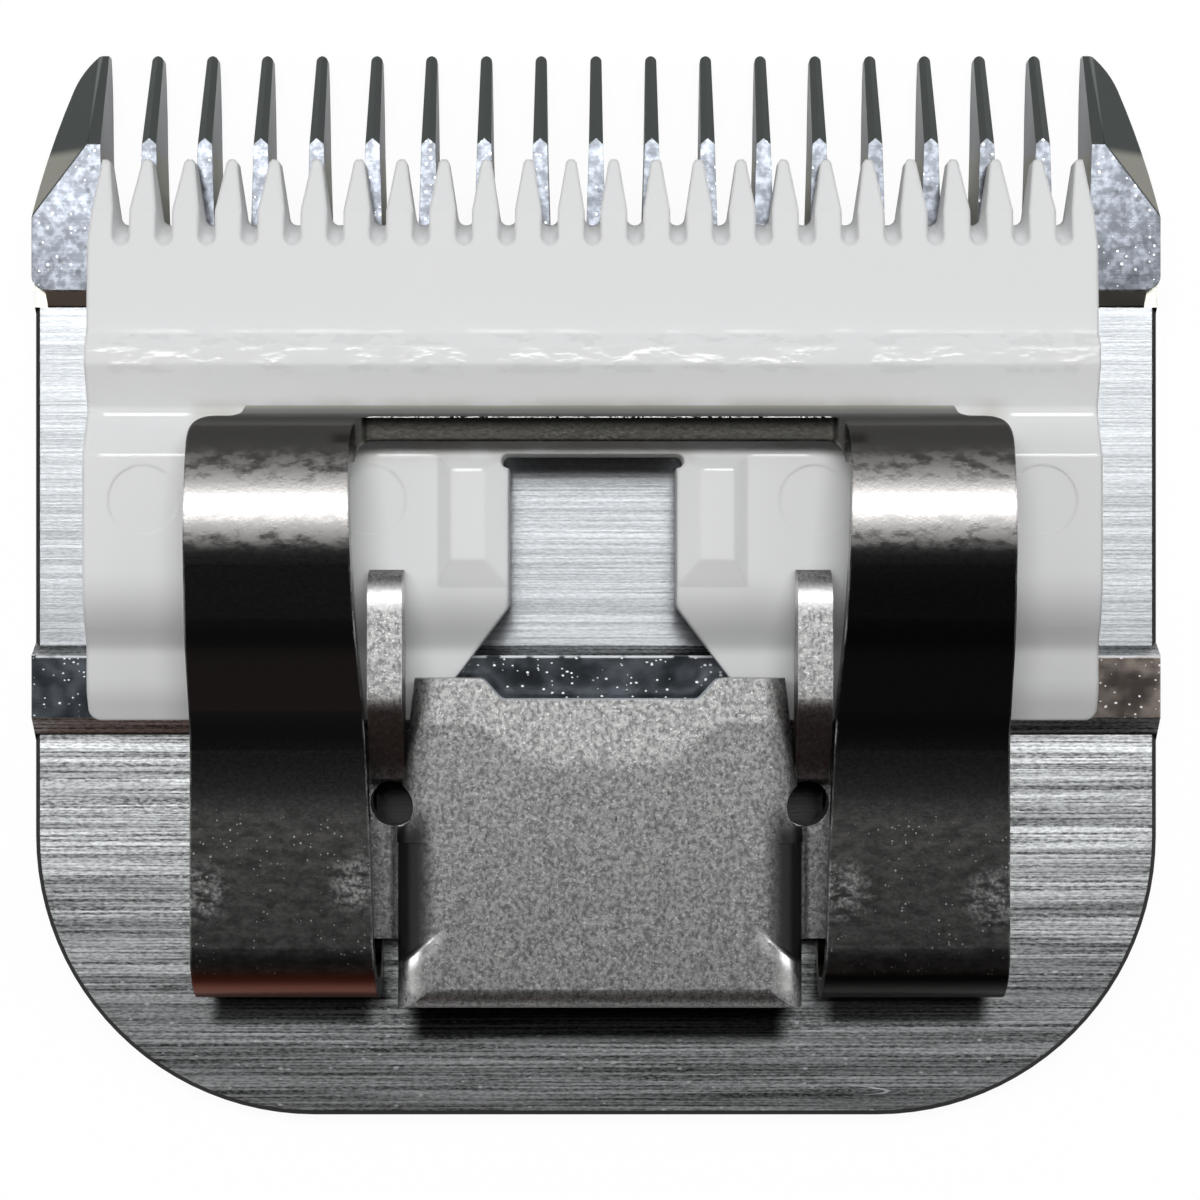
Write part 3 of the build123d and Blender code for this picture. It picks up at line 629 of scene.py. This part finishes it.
def springMaterial():
    material, tree, shader, spot = startMaterial("springSteelLook")
    look = springLook
    x, y, z = split(tree, spot)
    facing = split(tree, surfaceNormal(tree))
    tumbled = grainAt(tree, spot, look["tumbledSize"])
    patches = grainAt(tree, spot, look["patchSize"])
    blotches = grainAt(tree, stretch(tree, spot, (0.5, 1.0, 1.0)), look["blotchSize"])
    edges = use(tree, edgeRounding, Radius=look["edgeRadius"])
    # Steel, darker and mottled at the rear; painted shade darkens it just behind the arch, at the fold and
    # in the middle of the right arm
    rear = rise(tree, y, *look["rearY"])
    colour = tint(tree, scaled(tree, tumbled, 0.0, 0.4), look["steel"], look["dull"])
    colour = darken(tree, colour, rear, look["rearShare"])
    unlit = allOf(tree, rise(tree, x, *look["unlitX"]), band(tree, y, *look["unlitY"], 1.0))
    colour = darken(tree, colour, unlit, look["rightShare"])
    mottled = scaled(tree, rise(tree, blotches, 0.30, 0.70), *look["rearMottle"])
    colour = shade(tree, colour, level(tree, rear, 1.0, mottled))
    colour = darken(tree, colour, band(tree, y, *look["duskY"], 0.6), look["duskShare"])
    foldFront, foldMiddle, foldRear = look["foldY"]
    fold = allOf(tree, rise(tree, y, foldFront, foldMiddle), rise(tree, y, foldRear, foldMiddle))
    colour = darken(tree, colour, fold, look["foldShare"])
    # Bright specks, scuffs beside the bends and worn edges
    bright = allOf(tree, specks(tree, spot, look["specks"]), rear, rise(tree, patches, 0.45, 0.55))
    colour = tint(tree, bright, colour, look["worn"])
    rubbed = scaled(tree, rise(tree, tumbled, 0.35, 0.65), 0.15, 0.9)
    blotchy = rise(tree, blotches, 0.36, 0.60)
    for place in look["scuffs"]:
        scuff = allOf(tree, near(tree, spot, place, look["scuffReach"]), blotchy, rubbed)
        colour = tint(tree, scuff, colour, look["worn"])
    kept = level(tree, rise(tree, facing[1], -0.3, -0.6), 0.6, 0.0)
    worn = allOf(tree, edges["Mask"], rise(tree, patches, 0.42, 0.6), kept)
    colour = tint(tree, worn, colour, look["worn"])
    # Reflections of the room in the bends and in the crossbar's front
    room = tint(tree, rise(tree, x, *look["bendX"]), look["bendLeft"], look["bendRight"])
    bend = allOf(tree, rise(tree, facing[1], -0.36, -0.54), rise(tree, facing[2], -0.1, 0.05))
    colour = tint(tree, bend, colour, room)
    mirrored = tint(tree, rise(tree, z, *look["frontZ"]), look["frontLow"], look["frontHigh"])
    colour = tint(tree, rise(tree, facing[1], 0.60, 0.85), colour, mirrored)
    # Sheared top edge of the crossbar: near black from painted shade, turning to an oily grey towards the
    # rear, with a painted highlight along the burr at its front
    sheared = allOf(tree, rise(tree, facing[2], 0.80, 0.90), area(tree, x, y, crossbarTop))
    paintedShade = tint(tree, rise(tree, y, 6.74, 6.15), look["shadeBlack"], look["oily"])
    colour = tint(tree, sheared, colour, shade(tree, paintedShade, scaled(tree, tumbled, 0.7, 1.3)))
    burr = allOf(tree, sheared, rise(tree, y, 6.80, 6.84), rise(tree, tumbled, 0.40, 0.50))
    colour = tint(tree, burr, colour, look["worn"])
    # Painted shade: the low, upward-facing foot of the spring is near black
    foot = allOf(tree, rise(tree, z, *look["footZ"]), rise(tree, facing[2], 0.5, 0.8))
    colour = tint(tree, foot, colour, look["shadeBlack"])
    # Smooth arch, fretted where its highlight ends
    tails = anyOf(tree, *(band(tree, y, *ends, 0.4) for ends in look["tailsY"]))
    fretted = allOf(tree, tails, rise(tree, blotches, 0.30, 0.68))
    smooth = level(tree, fretted, scaled(tree, tumbled, 0.14, 0.22), look["tailRoughness"])
    finishShader(tree, shader, {
        "Base Color": colour,
        "Metallic": 1.0,
        "Roughness": level(tree, rear, smooth, scaled(tree, tumbled, 0.24, 0.38)),
        "Normal": bump(tree, tumbled, look["tumbledDepth"], edges["Normal"]),
    })
    return material


# Socket: blasted sheet steel
socketLook = {
    "steel": (0.48, 0.48, 0.475),
    "bright": (0.80, 0.80, 0.79),
    "dark": (0.19, 0.19, 0.19),
    "pit": (0.06, 0.06, 0.06),
    "white": (1.0, 1.0, 1.0),
    "dent": (0.045, 0.045, 0.045),
    "earDark": (0.07, 0.07, 0.075),
    "earRoot": (0.075, 0.052, 0.046),
    "coarseSize": 0.18,
    "sandSize": 0.10,
    "patchSize": 3.0,
    "pits": (0.28, 0.35),
    "pitStrength": 0.45,
    "flecks": (0.24, 0.16),
    "fleckStrength": 0.22,
    "middle": 0.16,
    "wing": (2.40, 5.60),
    "creaseMiddle": -8.4,
    "creaseSide": -6.05,
    "frontShare": 1.16,
    "middleShare": 0.80,
    "topZ": (6.6, 6.9),
    "slant": (0.637, 0.771, 7.076),
    "dentZ": (4.6, 5.2),
    "dentY": (-9.2, -10.8),
    "cornerY": (-17.4, -17.0),
    "cornerStrength": 0.6,
    "earX": (8.0, 8.2),
    "shineY": (-1.1, -0.05),
    "shineStrength": 0.75,
    "earFrontY": (0.2, 0.5),
    "earRootY": (-8.1, -4.9),
    "earStrength": 0.8,
    "coarseShare": 0.6,
    "blastDepth": 0.000016,
    "creaseDepth": 0.000012,
    "dentDepth": 0.0001,
    "edgeRadius": 0.00006,
}


def socketMaterial():
    material, tree, shader, spot = startMaterial("socketSteelLook")
    look = socketLook
    x, y, z = split(tree, spot)
    coarse = grainAt(tree, stretch(tree, spot, (1.0, 0.8, 1.0)), look["coarseSize"])
    sand = grainAt(tree, spot, look["sandSize"])
    patches = grainAt(tree, spot, look["patchSize"])
    edges = use(tree, edgeRounding, Radius=look["edgeRadius"])
    pits = specks(tree, stretch(tree, spot, (1.4, 0.8, 1.0)), look["pits"])
    flecks = specks(tree, spot, look["flecks"])
    colour = tint(tree, rise(tree, coarse, 0.30, 0.70), look["dark"], look["steel"])
    colour = tint(tree, rise(tree, sand, 0.55, 0.75), colour, look["bright"])
    colour = tint(tree, calc(tree, "MULTIPLY", pits, look["pitStrength"]), colour, look["pit"])
    colour = tint(tree, calc(tree, "MULTIPLY", flecks, look["fleckStrength"]), colour, look["white"])
    # Painted light: the pressed front of the top is lighter, ahead of a crease that runs out to both front
    # corners, and painted shade darkens the top behind the crease
    middle = look["middle"]
    wingStart, wingEnd = look["wing"]
    wing = anyOf(
        tree,
        rise(tree, x, middle + wingStart, middle + wingEnd),
        rise(tree, x, middle - wingStart, middle - wingEnd),
    )
    wing = level(tree, 0.12, wing, patches)
    crease = level(tree, wing, look["creaseMiddle"], look["creaseSide"])
    creaseEnd = level(tree, wing, look["creaseMiddle"] + 1.0, look["creaseSide"] + 0.35)
    pressed = rise(tree, y, crease, creaseEnd)
    colour = shade(tree, colour, scaled(tree, pressed, look["middleShare"], look["frontShare"]))
    # Rubbed edges turn white; along the pressed front the white edge is a painted highlight
    rubbed = allOf(tree, edges["Mask"], rise(tree, patches, 0.35, 0.6))
    rubbed = anyOf(tree, rubbed, allOf(tree, edges["Mask"], pressed))
    colour = tint(tree, rubbed, colour, look["white"])
    # Side of the top pressed in behind each ear, near black in the dent from painted shade, with a painted
    # highlight as a bright slanted lip at the dent's rear end
    high = rise(tree, z, *look["topZ"])
    outward = freeCalc(tree, "ABSOLUTE", freeCalc(tree, "SUBTRACT", x, middle))
    across = measure(tree, "DOT_PRODUCT", join(tree, outward, y, 1.0), look["slant"])
    dent = allOf(
        tree,
        rise(tree, z, *look["dentZ"]),
        rise(tree, outward, 6.7, 7.7),
        rise(tree, across, -0.05, 0.20),
        rise(tree, y, *look["dentY"]),
        rise(tree, outward, 8.75, 8.65),
    )
    lip = allOf(tree, high, rise(tree, across, 0.10, -0.02), rise(tree, across, -0.62, -0.16))
    lip = allOf(tree, lip, rise(tree, outward, 6.3, 7.2))
    # Painted highlight on the rear corners of the top
    corner = allOf(tree, high, rise(tree, across, -0.2, -0.6), rise(tree, outward, 7.0, 8.0))
    corner = allOf(tree, corner, rise(tree, y, *look["cornerY"]))
    colour = tint(tree, calc(tree, "MULTIPLY", corner, look["cornerStrength"]), colour, look["bright"])
    # Ears: a painted highlight behind their rounded front ends, and painted shade at both ends
    ear = rise(tree, outward, *look["earX"])
    shine = allOf(tree, ear, band(tree, y, *look["shineY"], 0.3), look["shineStrength"])
    front = allOf(tree, ear, rise(tree, y, *look["earFrontY"]), look["earStrength"])
    root = allOf(tree, ear, band(tree, y, *look["earRootY"], 0.6), look["earStrength"])
    colour = tint(tree, shine, colour, look["white"])
    colour = tint(tree, front, colour, look["earDark"])
    colour = tint(tree, root, colour, look["earRoot"])
    # Painted shade in the dent and a painted highlight on its lip
    colour = tint(tree, dent, colour, look["dent"])
    colour = tint(tree, lip, colour, look["white"])
    coarseShare = look["coarseShare"]
    height = calc(
        tree, "ADD",
        calc(tree, "MULTIPLY", coarse, coarseShare), calc(tree, "MULTIPLY", sand, 1 - coarseShare),
    )
    shaped = bump(tree, pressed, look["creaseDepth"], edges["Normal"])
    shaped = bump(tree, calc(tree, "SUBTRACT", 1.0, dent), look["dentDepth"], shaped)
    finishShader(tree, shader, {
        "Base Color": colour,
        "Metallic": 1.0,
        "Roughness": level(tree, lip, 0.48, 0.30),
        "Normal": bump(tree, height, look["blastDepth"], shaped),
    })
    return material


# Screws: turned steel, with oily thread ends
screwLook = {
    "steel": (0.55, 0.55, 0.56),
    "dark": (0.16, 0.15, 0.14),
    "oily": (0.03, 0.03, 0.03),
    "grainSize": 0.5,
    "tipZ": (2.5, 3.2),
    "grainDepth": 0.000008,
    "edgeRadius": 0.00008,
}


def screwMaterial():
    material, tree, shader, spot = startMaterial("screwSteelLook")
    look = screwLook
    edges = use(tree, edgeRounding, Radius=look["edgeRadius"])
    dull = grainAt(tree, spot, look["grainSize"])
    colour = tint(tree, rise(tree, dull, 0.4, 0.75), look["steel"], look["dark"])
    colour = tint(tree, edges["Mask"], colour, look["steel"])
    tip = rise(tree, split(tree, spot)[2], *look["tipZ"])
    finishShader(tree, shader, {
        "Base Color": tint(tree, tip, colour, look["oily"]),
        "Metallic": 1.0,
        "Roughness": scaled(tree, dull, 0.25, 0.45),
        "Normal": bump(tree, dull, look["grainDepth"], edges["Normal"]),
    })
    return material


dress("comb", combMaterial())
dress("cutter", cutterMaterial())
dress("tension_spring", springMaterial())
dress("socket", socketMaterial())
screwSteel = screwMaterial()
dress("screw_left", screwSteel)
dress("screw_right", screwSteel)
print("materials made")


# Floor: white to the camera, with the object's faint shadow
floorLook = {"halfSize": 0.6, "matt": (0.85, 0.85, 0.85), "glow": 1.04, "shadowShare": 0.10}


def makeFloor():
    half = floorLook["halfSize"]
    mesh = bpy.data.meshes.new("floor")
    corners = [(-half, -half, 0), (half, -half, 0), (half, half, 0), (-half, half, 0)]
    mesh.from_pydata(corners, [], [(0, 1, 2, 3)])
    floor = bpy.data.objects.new("floor", mesh)
    bpy.context.scene.collection.objects.link(floor)
    material = bpy.data.materials.new("floorLook")
    material.use_nodes = True
    tree = material.node_tree
    tree.nodes.clear()
    matt = add(tree, "ShaderNodeBsdfDiffuse", {"Color": floorLook["matt"]}).outputs[0]
    glow = add(tree, "ShaderNodeEmission", {"Strength": floorLook["glow"]}).outputs[0]
    seen = add(tree, "ShaderNodeLightPath").outputs["Is Camera Ray"]
    share = calc(tree, "MULTIPLY", seen, 1 - floorLook["shadowShare"])
    mix = add(tree, "ShaderNodeMixShader", {0: share, 1: matt, 2: glow}).outputs[0]
    add(tree, "ShaderNodeOutputMaterial", {"Surface": mix})
    mesh.materials.append(material)
    return floor


makeFloor()


# Light: one big softbox above the front, low strips at both sides, and a dark ceiling behind the camera
softboxLook = {
    "place": (-0.004, 0.155, 0.475),
    "size": (0.50, 0.215),
    "radiance": 9.6,
    "nearFade": 0.42,
    "farFade": 0.55,
}
stripLook = {
    "place": (0.30, -0.06, 0.12),
    "size": (0.10, 0.30),
    "radiance": 1.6,
    "nearFade": 0.1,
    "farFade": 0.1,
}


def makeAreaLight(name, look, place):
    width, length = look["size"]
    light = bpy.data.lights.new(name, "AREA")
    light.shape = "RECTANGLE"
    light.size, light.size_y = width, length
    light.energy = look["radiance"] * math.pi * width * length
    light.use_nodes = True
    tree = light.node_tree
    tree.nodes.clear()
    along = split(tree, add(tree, "ShaderNodeNewGeometry").outputs["Parametric"])[1]
    fade = allOf(tree, rise(tree, along, 0, look["farFade"]), rise(tree, along, 1, 1 - look["nearFade"]))
    glow = add(tree, "ShaderNodeEmission", {"Strength": fade}).outputs[0]
    add(tree, "ShaderNodeOutputLight", {"Surface": glow})
    lamp = bpy.data.objects.new(name, light)
    lamp.location = place
    lamp.rotation_mode = "QUATERNION"
    lamp.rotation_quaternion = Vector(place).to_track_quat("Z", "Y")
    bpy.context.scene.collection.objects.link(lamp)


makeAreaLight("softbox", softboxLook, softboxLook["place"])
stripX, stripY, stripZ = stripLook["place"]
for side, name in ((-1, "stripLeft"), (1, "stripRight")):
    makeAreaLight(name, stripLook, (side * stripX, stripY, stripZ))

skyLook = {
    "horizon": (0.22, 0.22, 0.22),
    "ceiling": (0.02, 0.02, 0.022),
    "rear": (0.03, 0.03, 0.03),
    "warm": (0.10, 0.06, 0.05),
    "backdrop": (1.0, 1.0, 1.0),
}


def makeWorld():
    world = bpy.data.worlds.new("studio")
    bpy.context.scene.world = world
    world.use_nodes = True
    tree = world.node_tree
    tree.nodes.clear()
    direction = split(tree, add(tree, "ShaderNodeTexCoord").outputs["Generated"])
    overhead = rise(tree, direction[2], 0.70, 0.90)
    behind = rise(tree, direction[1], 0.0, -0.45)
    warmSide = allOf(tree, rise(tree, direction[1], -0.6, -0.8), rise(tree, direction[0], 0.15, -0.05))
    colour = tint(tree, behind, skyLook["horizon"], skyLook["rear"])
    colour = tint(tree, warmSide, colour, skyLook["warm"])
    colour = tint(tree, overhead, colour, skyLook["ceiling"])
    seen = add(tree, "ShaderNodeLightPath").outputs["Is Camera Ray"]
    colour = tint(tree, seen, colour, skyLook["backdrop"])
    background = add(tree, "ShaderNodeBackground", {"Color": colour}).outputs[0]
    add(tree, "ShaderNodeOutputWorld", {"Surface": background})


makeWorld()
print("light made")


# Camera: straight above the blade, at the distance that the photograph's perspective shows
cameraLook = {
    "place": (-0.00013, -0.00079),
    "plateTop": 0.00235,
    "distance": 0.105,
    "viewWidth": 0.0524,
    "sensor": 36,
    "shift": 0.00583,
    "nearest": 0.001,
}


def makeCamera():
    data = bpy.data.cameras.new("camera")
    data.sensor_width = cameraLook["sensor"]
    data.lens = cameraLook["sensor"] * cameraLook["distance"] / cameraLook["viewWidth"]
    data.shift_x = cameraLook["shift"]
    data.clip_start = cameraLook["nearest"]
    camera = bpy.data.objects.new("camera", data)
    camera.location = (*cameraLook["place"], cameraLook["plateTop"] + cameraLook["distance"])
    bpy.context.scene.collection.objects.link(camera)
    bpy.context.scene.camera = camera


makeCamera()
bpy.context.scene.view_settings.view_transform = "Standard"
print("camera made")
